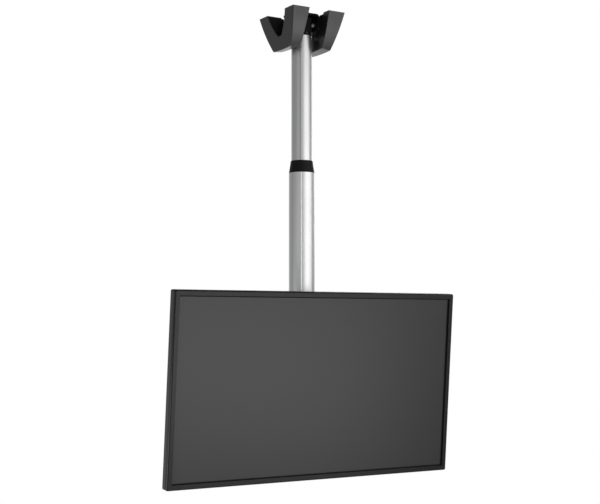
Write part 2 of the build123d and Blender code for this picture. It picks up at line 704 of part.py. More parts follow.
def ear(side):
    height = RAIL_H - 2 * BRACKET_INSET
    front = Pos(RAIL_BACK + EAR_T / 2, PIVOT_Z) * Rectangle(EAR_T, height)
    lobes = disc_at(PIVOT_Y, PIVOT_Z, EAR_LOBE).edges()
    lobes = lobes + disc_at(LOCK_Y, PIVOT_Z + EAR_LOCK_LIFT, TILT_LOCK_LOBE).edges()
    face = make_hull(lobes + front.edges())
    face = face - disc_at(PIVOT_Y, PIVOT_Z, PIVOT_D / 2 + RUNNING_GAP)
    first = -TILT_DOWN - TILT_REST - TILT_SPARE
    sweep = TILT_DOWN + TILT_UP + 2 * TILT_SPARE
    line = CenterArc((PIVOT_Y, PIVOT_Z), TILT_LOCK_AT, first, sweep)
    face = face - SlotArc(line, PIVOT_D + SLOT_CLEAR)
    start = EAR_IN if side > 0 else -EAR_OUT
    return Plane.YZ.offset(start) * extrude(face, EAR_T)


bracket_foot = RAIL_FOOT + BRACKET_INSET
bracket_top = RAIL_TOP - BRACKET_INSET
tilt_bracket = box(-EAR_OUT, EAR_OUT, RAIL_BACK, RAIL_BACK + EAR_T, bracket_foot, bracket_top)
tilt_bracket = tilt_bracket + ear(-1) + ear(1)
tilt_bracket = fillet(tilt_bracket.edges().filter_by(Axis.Z).group_by(Axis.Y)[0], EAR_BEND)


# The cross rail: a channel that the arms hang on

cross_rail = box(-RAIL_L / 2, RAIL_L / 2, RAIL_FRONT, RAIL_BACK, RAIL_FOOT, RAIL_TOP)
cross_rail = fillet(cross_rail.edges().filter_by(Axis.X).group_by(Axis.Y)[-1], RAIL_BEND)
channel_end = RAIL_L / 2 + CUT
channel_back = RAIL_BACK - RAIL_T
channel_foot = RAIL_FOOT + RAIL_T
channel_top = RAIL_TOP - RAIL_T
channel = box(-channel_end, channel_end, RAIL_FRONT - CUT, channel_back, channel_foot, channel_top)
cross_rail = cross_rail - channel
outer_slot_x = RAIL_L / 2 - RAIL_SLOT_END - RAIL_SLOT_L / 2
inner_slot_x = outer_slot_x - RAIL_SLOT_L - RAIL_SLOT_GAP
slot_cutter = extrude(SlotOverall(RAIL_SLOT_L, RAIL_SLOT_W), RAIL_T + 2 * CUT)
for sx in (-1, 1):
    for slot_x in (inner_slot_x, outer_slot_x):
        place = Plane((sx * slot_x, RAIL_BACK + CUT, PIVOT_Z), x_dir=RIGHT, z_dir=FRONT)
        cross_rail = cross_rail - place * slot_cutter
rail_bolts = []
for sx in (-1, 1):
    for sz in (-1, 1):
        x = sx * RAIL_BOLT_X / 2
        z = PIVOT_Z + sz * RAIL_BOLT_Z / 2
        hole = through(x, RAIL_BACK - RAIL_T, z, BACK, RAIL_BOLT_D, RAIL_T + EAR_T)
        cross_rail = cross_rail - hole
        tilt_bracket = tilt_bracket - hole
        shank = EAR_T + RAIL_T + RAIL_BOLT_PAST
        rail_bolts.append(socket_screw(x, RAIL_BACK + EAR_T, z, BACK, RAIL_BOLT_D - 2 * SEAT_GAP, shank))


# The upright arms: channels with a notch that sits on the rail

def arm(side):
    x = side * VESA_X / 2
    foot = PIVOT_Z - ARM_L / 2
    top = PIVOT_Z + ARM_L / 2
    back = BACK_Y + ARM_DEPTH
    notch_front = RAIL_FRONT - ARM_FRONT_CLEAR
    notch_foot = RAIL_FOOT - ARM_FOOT_CLEAR
    side_face = make_face(
        Polyline(
            (BACK_Y, foot),
            (back - ARM_TIP, foot),
            (back, RAIL_FOOT - ARM_TAPER),
            (back, notch_foot),
            (notch_front, notch_foot),
            (notch_front, RAIL_TOP),
            (back, RAIL_TOP),
            (back, RAIL_TOP + ARM_TAPER),
            (back - ARM_TIP, top),
            (BACK_Y, top),
            close=True,
        )
    )
    body = Plane.YZ.offset(x - ARM_W / 2) * extrude(side_face, ARM_W)
    body = fillet(body.edges().filter_by(Axis.Z).group_by(Axis.Y)[0], ARM_BEND)
    inner_half = ARM_W / 2 - ARM_T
    body = body - box(x - inner_half, x + inner_half, BACK_Y + ARM_T, back + CUT, foot - CUT, top + CUT)
    slot_cutter = extrude(Rot(Z=90) * SlotOverall(ARM_SLOT_L, ARM_SLOT_W), ARM_T + 2 * CUT)
    for sz in (-1, 1):
        hole_z = PIVOT_Z + sz * VESA_Z / 2
        body = body - through(x, BACK_Y, hole_z, BACK, VESA_SCREW_D + VESA_CLEAR, ARM_T)
        for step in (-ARM_SLOT_STEP, ARM_SLOT_STEP):
            place = Plane((x, BACK_Y + ARM_T + CUT, hole_z + step), x_dir=RIGHT, z_dir=FRONT)
            body = body - place * slot_cutter
    return body


left_arm = arm(-1)
right_arm = arm(1)
arm_safety_screws = []
for sx in (-1, 1):
    x = sx * (VESA_X / 2 - ARM_W / 2)
    y = BACK_Y + ARM_DEPTH - SAFETY_IN
    z = RAIL_FOOT - SAFETY_DROP
    hole = through(x, y, z, (sx, 0, 0), SAFETY_SCREW_D, ARM_T)
    left_arm = left_arm - hole
    right_arm = right_arm - hole
    shank = ARM_T + SAFETY_SCREW_PAST
    arm_safety_screws.append(socket_screw(x, y, z, (-sx, 0, 0), SAFETY_SCREW_D - 2 * SEAT_GAP, shank))


# The display: a front frame, the panel, a rear shell and what it holds

def rounded_block(width, height, y0, y1, corner):
    face = RectangleRounded(width, height, corner)
    return Plane((0, y1, PIVOT_Z), x_dir=RIGHT, z_dir=FRONT) * extrude(face, y1 - y0)


panel_corner = BEZEL_CORNER - BEZEL_T
display_bezel = rounded_block(DISPLAY_W, DISPLAY_H, FRONT_Y, BEZEL_BACK, BEZEL_CORNER)
display_bezel = fillet(display_bezel.faces().sort_by(Axis.Y)[0].outer_wire().edges(), BEZEL_EDGE)
screen_half_w = SCREEN_W / 2
screen_foot = PIVOT_Z - SCREEN_H / 2
screen_top = PIVOT_Z + SCREEN_H / 2
opening = box(-screen_half_w, screen_half_w, FRONT_Y - CUT, BEZEL_BACK, screen_foot, screen_top)
pocket_w = PANEL_W + PANEL_FIT
pocket_h = PANEL_H + PANEL_FIT
bezel_pocket = rounded_block(pocket_w, pocket_h, PANEL_FRONT, BEZEL_BACK + CUT, panel_corner)
display_bezel = display_bezel - opening - bezel_pocket

display_panel = rounded_block(PANEL_W, PANEL_H, PANEL_FRONT, PANEL_BACK, panel_corner)


def back_shape(inset):
    # The shell outside, or its hollow when the wall is taken off all round.
    corner = max(BEZEL_CORNER - inset, panel_corner)
    rim_back = RIM_Y - inset
    rim = rounded_block(DISPLAY_W - 2 * inset, DISPLAY_H - 2 * inset, BEZEL_BACK, rim_back, corner)
    low_w = BACK_W - 2 * inset
    low_h = BACK_H - 2 * inset
    low = RectangleRounded(low_w, low_h, BACK_CORNER)
    high = RectangleRounded(low_w - 2 * BACK_SLOPE, low_h - 2 * BACK_SLOPE, BACK_CORNER)
    start = Plane((0, rim_back, PIVOT_Z), x_dir=RIGHT, z_dir=BACK)
    hump = loft([start * low, start.offset(BACK_DEPTH - RIM_DEPTH) * high])
    return rim, hump


outer_rim, outer_hump = back_shape(0)
inner_rim, inner_hump = back_shape(BACK_WALL)
outer_rim = fillet(outer_rim.faces().sort_by(Axis.Y)[-1].outer_wire().edges(), RIM_EDGE)
outer_hump = fillet(outer_hump.faces().sort_by(Axis.Y)[-1].outer_wire().edges(), BACK_EDGE)
display_rear_cover = outer_rim + outer_hump - (inner_rim + inner_hump)

vent_cutter = extrude(Rot(Z=90) * SlotOverall(VENT_H, VENT_W), BACK_WALL + 2 * CUT)
vents = []
for row in (-1, 1):
    for step in range(-VENTS_EACH_SIDE, VENTS_EACH_SIDE + 1):
        vent_z = PIVOT_Z + row * (BACK_H + DISPLAY_H) / 4
        place = Plane((step * VENT_PITCH, RIM_Y + CUT, vent_z), x_dir=RIGHT, z_dir=FRONT)
        vents.append(place * vent_cutter)
display_rear_cover = display_rear_cover - vents

display_screws = []
mount_posts = []
bore_d = VESA_SCREW_D + 2 * SEAT_GAP
post_l = WALL_IN - PANEL_BACK
for sx in (-1, 1):
    for sz in (-1, 1):
        x = sx * VESA_X / 2
        z = PIVOT_Z + sz * VESA_Z / 2
        post = pin(x, PANEL_BACK, z, BACK, POST_D, post_l)
        mount_posts.append(post - pin(x, PANEL_BACK + POST_FLOOR, z, BACK, bore_d, post_l))
        display_rear_cover = display_rear_cover - through(x, WALL_IN, z, BACK, bore_d, BACK_WALL)
        shank = ARM_T + BACK_WALL + VESA_THREAD
        display_screws.append(hex_bolt(x, BACK_Y + ARM_T, z, BACK, VESA_SCREW_D, shank, VESA_WASHER_D))


# Boards and speakers stand on studs on the back of the panel

def on_studs(x, z, width, height, thickness, stud):
    face_y = PANEL_BACK + stud
    board = box(x - width / 2, x + width / 2, face_y, face_y + thickness, z - height / 2, z + height / 2)
    for sx in (-1, 1):
        for sz in (-1, 1):
            stud_x = x + sx * (width / 2 - BOARD_STUD_D)
            stud_z = z + sz * (height / 2 - BOARD_STUD_D)
            board = board + pin(stud_x, PANEL_BACK, stud_z, BACK, BOARD_STUD_D, stud + thickness / 2)
    return board


def chip(x, z, width):
    half = width / 2
    face_y = PANEL_BACK + BOARD_STUD + BOARD_T
    return box(x - half, x + half, face_y - BOARD_T / 2, face_y + CHIP_T, z - half, z + half)


main_board_x = BOARD_X / 2
power_board_x = -BOARD_X / 2
main_board = on_studs(main_board_x, PIVOT_Z, BOARD_W, BOARD_H, BOARD_T, BOARD_STUD)
main_board = main_board + chip(main_board_x, PIVOT_Z, CHIP_W)
power_board = on_studs(power_board_x, PIVOT_Z, BOARD_W, BOARD_H, BOARD_T, BOARD_STUD)
power_board = power_board + chip(power_board_x, PIVOT_Z + CHIP_UP, CHIP_W)
power_board = power_board + chip(power_board_x, PIVOT_Z - SMALL_CHIP_DOWN, SMALL_CHIP_W)
speaker_z = PIVOT_Z - DISPLAY_H / 2 + SPEAKER_UP
left_speaker = on_studs(-SPEAKER_X / 2, speaker_z, SPEAKER_W, SPEAKER_H, SPEAKER_T, SPEAKER_STUD)
right_speaker = on_studs(SPEAKER_X / 2, speaker_z, SPEAKER_W, SPEAKER_H, SPEAKER_T, SPEAKER_STUD)


# The terminal panel and power inlet sit in openings of the rear shell, with a lip behind the wall

fit = 2 * SEAT_GAP
socket_z = PIVOT_Z - BACK_H / 2 + BACK_SLOPE + TERMINAL_H
socket_face = BACK_Y - TERMINAL_RECESS


def plate_at(x, width, height, y0, y1):
    return box(x - width / 2, x + width / 2, y0, y1, socket_z - height / 2, socket_z + height / 2)


def lipped(x, width, height, y0):
    # A block that fills its opening and a lip round it, behind the wall.
    block = plate_at(x, width - fit, height - fit, y0, socket_face)
    lip_w = width + 2 * TERMINAL_LIP
    lip_h = height + 2 * TERMINAL_LIP
    return block + plate_at(x, lip_w, lip_h, WALL_IN - TERMINAL_LIP_T, WALL_IN)


for x, width, height in ((TERMINAL_X, TERMINAL_W, TERMINAL_H), (INLET_X, INLET_W, INLET_H)):
    display_rear_cover = display_rear_cover - plate_at(x, width, height, WALL_IN - CUT, BACK_Y + CUT)

terminal_panel = lipped(TERMINAL_X, TERMINAL_W, TERMINAL_H, WALL_IN)
port_floor = BACK_Y - PORT_DEPTH
for step in (-2, -1, 0, 1):
    port_x = TERMINAL_X + step * PORT_PITCH
    terminal_panel = terminal_panel - plate_at(port_x, PORT_W, PORT_H, port_floor, BACK_Y)
jack_x = TERMINAL_X + 2 * PORT_PITCH
terminal_panel = terminal_panel - pin(jack_x, port_floor, socket_z, BACK, PORT_H, PORT_DEPTH)

inlet_foot = BACK_Y - INLET_DEPTH
well_w = INLET_W - 2 * INLET_WALL
well_h = INLET_H - 2 * INLET_WALL
power_inlet = lipped(INLET_X, INLET_W, INLET_H, inlet_foot)
power_inlet = power_inlet - plate_at(INLET_X, well_w, well_h, inlet_foot + INLET_WALL, BACK_Y)
for step in (-1, 0, 1):
    blade_x = INLET_X + step * BLADE_PITCH
    power_inlet = power_inlet + plate_at(blade_x, BLADE_W, BLADE_H, inlet_foot + INLET_WALL / 2, port_floor)

rear_cover_screws = []
boss_l = RIM_Y - BACK_WALL / 2 - PANEL_BACK
for sx in (-1, 0, 1):
    for sz in (-1, 1):
        x = sx * (DISPLAY_W / 2 - CASE_SCREW_IN_X)
        z = PIVOT_Z + sz * (DISPLAY_H / 2 - CASE_SCREW_IN_Z)
        boss = pin(x, PANEL_BACK, z, BACK, CASE_BOSS_D, boss_l)
        bore = pin(x, PANEL_BACK + BACK_WALL, z, BACK, CASE_SCREW_D, RIM_DEPTH)
        display_rear_cover = display_rear_cover + boss - bore
        rear_cover_screws.append(socket_screw(x, RIM_Y, z, BACK, CASE_SCREW_D - fit, CASE_SCREW_L))


# Write each piece, with the display and its carrier tilted to the pose they rest in

tilt_pose = Pos(0, PIVOT_Y, PIVOT_Z) * Rot(X=TILT_REST) * Pos(0, -PIVOT_Y, -PIVOT_Z)

upright = {
    "ceiling_bracket": ceiling_bracket,
    "left_cover": left_cover,
    "right_cover": right_cover,
    "cover_screws": cover_screws,
    "pole_head": pole_head,
    "head_bolts": head_bolts,
    "head_bushes": head_bushes,
    "head_set_screws": head_set_screws,
    "inner_tube": inner_tube,
    "tube_screws": tube_screws,
    "guide_bush": guide_bush,
    "collar": collar,
    "outer_tube": outer_tube,
    "height_lock_screws": height_lock_screws,
    "bottom_plug": bottom_plug,
    "plug_screws": plug_screws,
    "stop_pin": stop_pin,
    "swivel_washer": swivel_washer,
    "yoke": yoke,
    "king_bolt": king_bolt,
    "king_nut": king_nut,
    "tilt_pivots": tilt_pivots,
    "tilt_locks": tilt_locks,
    "friction_washers": friction_washers,
}

tilted = {
    "tilt_bracket": tilt_bracket,
    "cross_rail": cross_rail,
    "rail_bolts": rail_bolts,
    "left_arm": left_arm,
    "right_arm": right_arm,
    "arm_safety_screws": arm_safety_screws,
    "display_screws": display_screws,
    "display_bezel": display_bezel,
    "display_panel": display_panel,
    "display_rear_cover": display_rear_cover,
    "mount_posts": mount_posts,
    "main_board": main_board,
    "power_board": power_board,
    "left_speaker": left_speaker,
    "right_speaker": right_speaker,
    "terminal_panel": terminal_panel,
    "power_inlet": power_inlet,
    "rear_cover_screws": rear_cover_screws,
}


def solids_of(shape):
    pieces = shape if isinstance(shape, list) else [shape]
    found = []
    for piece in pieces:
        found.extend(piece.solids())
    return found


for name, shape in upright.items():
    export_step(Compound(children=solids_of(shape)), f"parts/{name}.step")

for name, shape in tilted.items():
    moved = [tilt_pose * solid for solid in solids_of(shape)]
    export_step(Compound(children=moved), f"parts/{name}.step")
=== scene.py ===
import json
import math

import bpy
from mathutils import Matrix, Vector


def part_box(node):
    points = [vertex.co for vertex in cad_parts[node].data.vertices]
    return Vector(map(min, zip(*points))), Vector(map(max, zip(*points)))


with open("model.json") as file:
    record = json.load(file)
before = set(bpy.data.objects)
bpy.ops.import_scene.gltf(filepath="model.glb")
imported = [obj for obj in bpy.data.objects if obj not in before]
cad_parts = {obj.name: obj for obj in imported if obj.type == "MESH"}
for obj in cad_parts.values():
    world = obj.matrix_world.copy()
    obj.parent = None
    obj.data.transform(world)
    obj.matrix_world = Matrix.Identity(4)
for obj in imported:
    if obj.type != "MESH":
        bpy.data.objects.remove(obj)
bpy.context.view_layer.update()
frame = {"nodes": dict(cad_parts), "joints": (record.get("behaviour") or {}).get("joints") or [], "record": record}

# The dressed look of a telescopic ceiling column with a display on its tilting head.
# All lengths are in metres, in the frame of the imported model: the ceiling is at z = 0.

scene = bpy.context.scene
joints = {joint["name"]: joint for joint in frame["joints"]}

# Camera, fitted to the corners of the display and of the claws
CAMERA_AT = Vector((-1.8784, -3.1173, -0.9438))
CAMERA_YAW = math.radians(30.99)
CAMERA_PITCH = math.radians(3.44)
SENSOR_WIDTH = 36.0
LENS = 72.14

# Floor, which fades out over the last stretch before its rim
FLOOR_LEVEL = -2.4
FLOOR_RADIUS = 2.6
FLOOR_FADE = 1.5
FLOOR_SIDES = 96
FLOOR_TONE = 0.86
FLOOR_ROUGHNESS = 0.9
FLOOR_GLOW = 0.5

# Light from around, by direction. FROM and FULL are cosines of a ray's angle to that direction.
UP = Vector((0.0, 0.0, 1.0))
WHITE = 1.0
ROOM = 0.38
FRONT_ROOM = 0.72
FRONT_TOWARDS = Vector((-0.3, -0.9, 0.2)).normalized()
FRONT_FROM = 0.2
FRONT_FULL = 0.95
LOW_ROOM = 0.12
LOW_FROM = 0.04
LOW_FULL = 0.24
OVERHEAD = 0.05
OVERHEAD_FROM = 0.25
OVERHEAD_FULL = 0.65
SWEEP_LIGHT = 0.7
SWEEP_TOWARDS = Vector((0.4, 0.8, -0.5)).normalized()
SWEEP_FROM = 0.40
SWEEP_FULL = 0.95

# Softboxes that face the column. Azimuth 0 is in front of the screen, positive to its right, in degrees.
SOFTBOXES = {
    "key_softbox": dict(azimuth=27, distance=2.6, level=-0.12, width=3.6, height=1.4, radiance=1.42),
    "low_softbox": dict(azimuth=19, distance=2.6, level=-1.58, width=1.9, height=1.05, radiance=3.35),
    "side_softbox": dict(azimuth=58, distance=2.6, level=-0.65, width=0.9, height=0.6, radiance=1.3),
    "edge_strip": dict(azimuth=-82, distance=1.7, level=-1.55, width=1.6, height=0.55, radiance=5.0),
    "back_softbox": dict(azimuth=128, distance=2.6, level=0.15, width=2.0, height=1.3, radiance=1.2),
}

# Display, as it hangs on the tilt pivot
TILT_REST = math.radians(5)
TILT_PIVOT = Vector(joints["tilt"]["pos_m"])
SCREEN_WIDTH = 0.930
SCREEN_HEIGHT = 0.523
SCREEN_BORDER = 0.0032

# Upper tube, with grooves that start this far below its surface, and the tone of the shade painted into them
INNER_TUBE_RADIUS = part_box("inner_tube")[1].y
GROOVE_START = 0.0002
GROOVE_PAINTED_SHADE_TONE = 0.25

# Textures: noise in cells to the metre, spreads of tone as a share and of gloss as a step of roughness
NOISE_LOW = 0.3
NOISE_HIGH = 0.7
PLAIN_SHEEN = 0.5
PLASTIC_CLOUDS = 35.0
PLASTIC_TONE_SPREAD = 0.1
PLASTIC_GLOSS = 160.0
PLASTIC_GLOSS_SPREAD = 0.04
COAT_CLOUDS = 50.0
COAT_TONE_SPREAD = 0.15
COAT_GLOSS = 300.0
COAT_GLOSS_SPREAD = 0.06
COAT_PEEL = 700.0
COAT_PEEL_DEPTH = 0.00008
ALUMINIUM_TONE = 0.62
ALUMINIUM_TINT = 0.006
ALUMINIUM_TONE_SPREAD = 0.03
ALUMINIUM_ROUGHNESS = 0.42
ALUMINIUM_GLOSS_SPREAD = 0.05
ALUMINIUM_CLOUDS = 9.0
STREAKS = (420.0, 420.0, 3.0)
STREAK_SHARE = 0.6
STREAK_DEPTH = 0.00001
ZINC_DARK = (0.56, 0.57, 0.58)
ZINC_PALE = (0.70, 0.71, 0.72)
ZINC_ROUGHNESS = 0.31
ZINC_GLOSS_SPREAD = 0.07
ZINC_CLOUDS = 220.0
ZINC_GRAIN = 1500.0
ZINC_GRAIN_DEPTH = 0.00002
NYLON_DARK = (0.66, 0.65, 0.61)
NYLON_PALE = (0.74, 0.73, 0.69)
NYLON_CLOUDS = 120.0
NYLON_GLOSS = 400.0
NYLON_ROUGHNESS = 0.47
NYLON_GLOSS_SPREAD = 0.05
NYLON_GRAIN = 900.0
NYLON_GRAIN_DEPTH = 0.00002
SCREEN_DARK = 0.020
SCREEN_PALE = 0.024
SCREEN_SPECKLE = 2500.0
SCREEN_ROUGHNESS = 0.34
SCREEN_GLOSS_SPREAD = 0.03
SCREEN_GLOSS = 1800.0
SCREEN_GRAIN = 3000.0
SCREEN_GRAIN_DEPTH = 0.000005
SCREEN_SHEEN = 0.32
BORDER_TONE = 0.004
BORDER_ROUGHNESS = 0.85
BOARD_DARK = (0.012, 0.075, 0.03, 1.0)
BOARD_PALE = (0.015, 0.09, 0.036, 1.0)
BOARD_TRACK = (0.03, 0.16, 0.07, 1.0)
BOARD_TRACKS = 140.0
BOARD_TRACK_WIDTH = 0.04
BOARD_TRACK_DEPTH = 0.00003
BOARD_GLOSS = 500.0
BOARD_ROUGHNESS = 0.36
BOARD_GLOSS_SPREAD = 0.06


def grey(value, tint=0.0):
    # A neutral tone, a little bluer when the tint is above zero.
    return (value * (1 - tint), value, value * (1 + tint))


class Nodes:
    """A tree of nodes, with the few kinds of node that the finishes and the surroundings share."""

    def __init__(self, tree):
        self.tree = tree

    def add(self, kind, **settings):
        node = self.tree.nodes.new(kind)
        for name, value in settings.items():
            setattr(node, name, value)
        return node

    def link(self, source, target):
        self.tree.links.new(source, target)

    def feed(self, socket, value):
        # A socket takes a link from another socket, or a plain value.
        if isinstance(value, bpy.types.NodeSocket):
            self.link(value, socket)
        else:
            socket.default_value = value

    def calculate(self, operation, first, second=0.0):
        node = self.add("ShaderNodeMath", operation=operation)
        self.feed(node.inputs[0], first)
        self.feed(node.inputs[1], second)
        return node.outputs["Value"]

    def between(self, factor, low, high, start=NOISE_LOW, end=NOISE_HIGH, **settings):
        node = self.add("ShaderNodeMapRange", **settings)
        node.inputs["From Min"].default_value = start
        node.inputs["From Max"].default_value = end
        node.inputs["To Min"].default_value = low
        node.inputs["To Max"].default_value = high
        self.link(factor, node.inputs["Value"])
        return node.outputs["Result"]

    def mixed_value(self, factor, low, high):
        node = self.add("ShaderNodeMix")
        self.link(factor, node.inputs["Factor"])
        self.feed(node.inputs["A"], low)
        self.feed(node.inputs["B"], high)
        return node.outputs["Result"]

    def split(self, vector):
        node = self.add("ShaderNodeSeparateXYZ")
        self.link(vector, node.inputs["Vector"])
        return node.outputs

    def mirrored(self, path):
        # 1 for a ray that is seen in metal or through glass.
        return self.calculate("MAXIMUM", path["Is Glossy Ray"], path["Is Transmission Ray"])


class Finish(Nodes):
    """One procedural material."""

    # A colour mix has its sockets by number, because they share their names with those for values.
    MIX_LOW, MIX_HIGH, MIX_RESULT = 6, 7, 2

    def __init__(self, name):
        self.material = bpy.data.materials.new(name)
        self.material.use_nodes = True
        super().__init__(self.material.node_tree)
        self.shader = self.tree.nodes["Principled BSDF"]
        self.place = self.add("ShaderNodeTexCoord").outputs["Object"]

    def set(self, **sockets):
        for name, value in sockets.items():
            self.shader.inputs[name.replace("_", " ")].default_value = value

    def stretched(self, scale):
        mapping = self.add("ShaderNodeMapping")
        mapping.inputs["Scale"].default_value = scale
        self.link(self.place, mapping.inputs["Vector"])
        return mapping.outputs["Vector"]

    def noise(self, scale, detail=3.0, vector=None):
        node = self.add("ShaderNodeTexNoise")
        node.inputs["Scale"].default_value = scale
        node.inputs["Detail"].default_value = detail
        self.link(vector or self.place, node.inputs["Vector"])
        return node.outputs["Fac"]

    def mixed_colour(self, factor, low, high):
        node = self.add("ShaderNodeMix", data_type="RGBA")
        self.link(factor, node.inputs["Factor"])
        for socket, value in ((self.MIX_LOW, low), (self.MIX_HIGH, high)):
            is_link = isinstance(value, bpy.types.NodeSocket)
            self.feed(node.inputs[socket], value if is_link else (*value, 1.0))
        return node.outputs[self.MIX_RESULT]

    def mottled(self, factor, tone, spread, tint=0.0):
        # A tone that wanders by a share of itself.
        return self.mixed_colour(factor, grey(tone * (1 - spread), tint), grey(tone * (1 + spread), tint))

    def about(self, factor, middle, spread):
        # A value that wanders by a step about its middle.
        return self.between(factor, middle - spread, middle + spread)

    def colour(self, source):
        self.link(source, self.shader.inputs["Base Color"])

    def roughness(self, source):
        self.link(source, self.shader.inputs["Roughness"])

    def bump(self, height, depth):
        node = self.add("ShaderNodeBump")
        node.inputs["Distance"].default_value = depth
        self.link(height, node.inputs["Height"])
        self.link(node.outputs["Normal"], self.shader.inputs["Normal"])


def moulded(name, tone, rough, grain, depth, sheen=PLAIN_SHEEN):
    # Spark-eroded plastic: a fine even grain, with a slightly uneven gloss.
    finish = Finish(name)
    finish.set(Specular_IOR_Level=sheen)
    finish.colour(finish.mottled(finish.noise(PLASTIC_CLOUDS), tone, PLASTIC_TONE_SPREAD))
    finish.roughness(finish.about(finish.noise(PLASTIC_GLOSS), rough, PLASTIC_GLOSS_SPREAD))
    finish.bump(finish.noise(1 / grain, detail=1.0), depth)
    return finish


def powder_coat(name, tone, rough, sheen=PLAIN_SHEEN):
    # Baked powder on metal: soft orange peel and faint unevenness in its gloss.
    finish = Finish(name)
    finish.set(Specular_IOR_Level=sheen)
    finish.colour(finish.mottled(finish.noise(COAT_CLOUDS), tone, COAT_TONE_SPREAD))
    finish.roughness(finish.about(finish.noise(COAT_GLOSS), rough, COAT_GLOSS_SPREAD))
    finish.bump(finish.noise(COAT_PEEL, detail=2.0), COAT_PEEL_DEPTH)
    return finish


def paint_shade_inside(finish, colour, radius, tone):
    # Paints shade: what lies nearer to the column's axis than a radius gets a darker tone, as the shade in the
    # grooves.
    place = finish.split(finish.place)
    squares = [finish.calculate("MULTIPLY", place[axis], place[axis]) for axis in ("X", "Y")]
    inside = finish.calculate("LESS_THAN", finish.calculate("ADD", *squares), radius ** 2)
    return finish.mixed_colour(inside, colour, grey(tone))


def anodised(name, shade_painted_inside=None):
    # Drawn aluminium: streaks that run down the tube under a satin oxide, and painted shade in its grooves if it
    # has any.
    finish = Finish(name)
    finish.set(Metallic=1.0)
    streaks = finish.noise(1.0, detail=5.0, vector=finish.stretched(STREAKS))
    colour = finish.mottled(streaks, ALUMINIUM_TONE, ALUMINIUM_TONE_SPREAD, ALUMINIUM_TINT)
    if shade_painted_inside is not None:
        # Painted shade in the grooves.
        colour = paint_shade_inside(finish, colour, shade_painted_inside, GROOVE_PAINTED_SHADE_TONE)
    finish.colour(colour)
    clouds = finish.calculate("MULTIPLY", finish.noise(ALUMINIUM_CLOUDS), 1 - STREAK_SHARE)
    uneven = finish.calculate("ADD", finish.calculate("MULTIPLY", streaks, STREAK_SHARE), clouds)
    finish.roughness(finish.about(uneven, ALUMINIUM_ROUGHNESS, ALUMINIUM_GLOSS_SPREAD))
    finish.bump(streaks, STREAK_DEPTH)
    return finish


def zinc(name, rough=ZINC_ROUGHNESS):
    # Zinc plate: bright, with a faint cloudy passivation.
    finish = Finish(name)
    finish.set(Metallic=1.0)
    clouds = finish.noise(ZINC_CLOUDS, detail=4.0)
    finish.colour(finish.mixed_colour(clouds, ZINC_DARK, ZINC_PALE))
    finish.roughness(finish.about(clouds, rough, ZINC_GLOSS_SPREAD))
    finish.bump(finish.noise(ZINC_GRAIN), ZINC_GRAIN_DEPTH)
    return finish


def nylon(name):
    # Undyed nylon: a warm white with a dull, waxy surface.
    finish = Finish(name)
    finish.colour(finish.mixed_colour(finish.noise(NYLON_CLOUDS), NYLON_DARK, NYLON_PALE))
    finish.roughness(finish.about(finish.noise(NYLON_GLOSS), NYLON_ROUGHNESS, NYLON_GLOSS_SPREAD))
    finish.bump(finish.noise(NYLON_GRAIN), NYLON_GRAIN_DEPTH)
    return finish


def from_screen_middle(finish):
    # Distances from the middle of the screen, across it and along its height.
    turn = finish.add("ShaderNodeVectorRotate", rotation_type="X_AXIS")
    turn.inputs["Center"].default_value = TILT_PIVOT
    turn.inputs["Angle"].default_value = -TILT_REST
    finish.link(finish.place, turn.inputs["Vector"])
    place = finish.split(turn.outputs["Vector"])
    level = finish.calculate("SUBTRACT", place["Z"], TILT_PIVOT.z)
    return finish.calculate("ABSOLUTE", place["X"]), finish.calculate("ABSOLUTE", level)


def screen(name):
    # Anti-glare glass: a dark grey picture area inside a dull black border.
    finish = Finish(name)
    finish.set(Specular_IOR_Level=SCREEN_SHEEN)
    across, upright = from_screen_middle(finish)
    past_side = finish.calculate("GREATER_THAN", across, SCREEN_WIDTH / 2 - SCREEN_BORDER)
    past_edge = finish.calculate("GREATER_THAN", upright, SCREEN_HEIGHT / 2 - SCREEN_BORDER)
    border = finish.calculate("MAXIMUM", past_side, past_edge)
    speckle = finish.noise(SCREEN_SPECKLE, detail=1.0)
    picture = finish.mixed_colour(speckle, grey(SCREEN_DARK), grey(SCREEN_PALE))
    finish.colour(finish.mixed_colour(border, picture, grey(BORDER_TONE)))
    fine = finish.about(finish.noise(SCREEN_GLOSS), SCREEN_ROUGHNESS, SCREEN_GLOSS_SPREAD)
    dull = finish.calculate("MULTIPLY", border, BORDER_ROUGHNESS)
    finish.roughness(finish.calculate("MAXIMUM", fine, dull))
    finish.bump(finish.noise(SCREEN_GRAIN, detail=1.0), SCREEN_GRAIN_DEPTH)
    return finish


def board(name):
    # Green solder mask over a grid of fine tracks.
    finish = Finish(name)
    upright = finish.add("ShaderNodeMapping")
    upright.inputs["Rotation"].default_value = (math.pi / 2, 0.0, 0.0)
    finish.link(finish.place, upright.inputs["Vector"])
    tracks = finish.add("ShaderNodeTexBrick")
    tracks.inputs["Scale"].default_value = BOARD_TRACKS
    tracks.inputs["Mortar Size"].default_value = BOARD_TRACK_WIDTH
    tracks.inputs["Color1"].default_value = BOARD_DARK
    tracks.inputs["Color2"].default_value = BOARD_PALE
    tracks.inputs["Mortar"].default_value = BOARD_TRACK
    finish.link(upright.outputs["Vector"], tracks.inputs["Vector"])
    finish.colour(tracks.outputs["Color"])
    finish.roughness(finish.about(finish.noise(BOARD_GLOSS), BOARD_ROUGHNESS, BOARD_GLOSS_SPREAD))
    finish.bump(tracks.outputs["Fac"], BOARD_TRACK_DEPTH)
    return finish


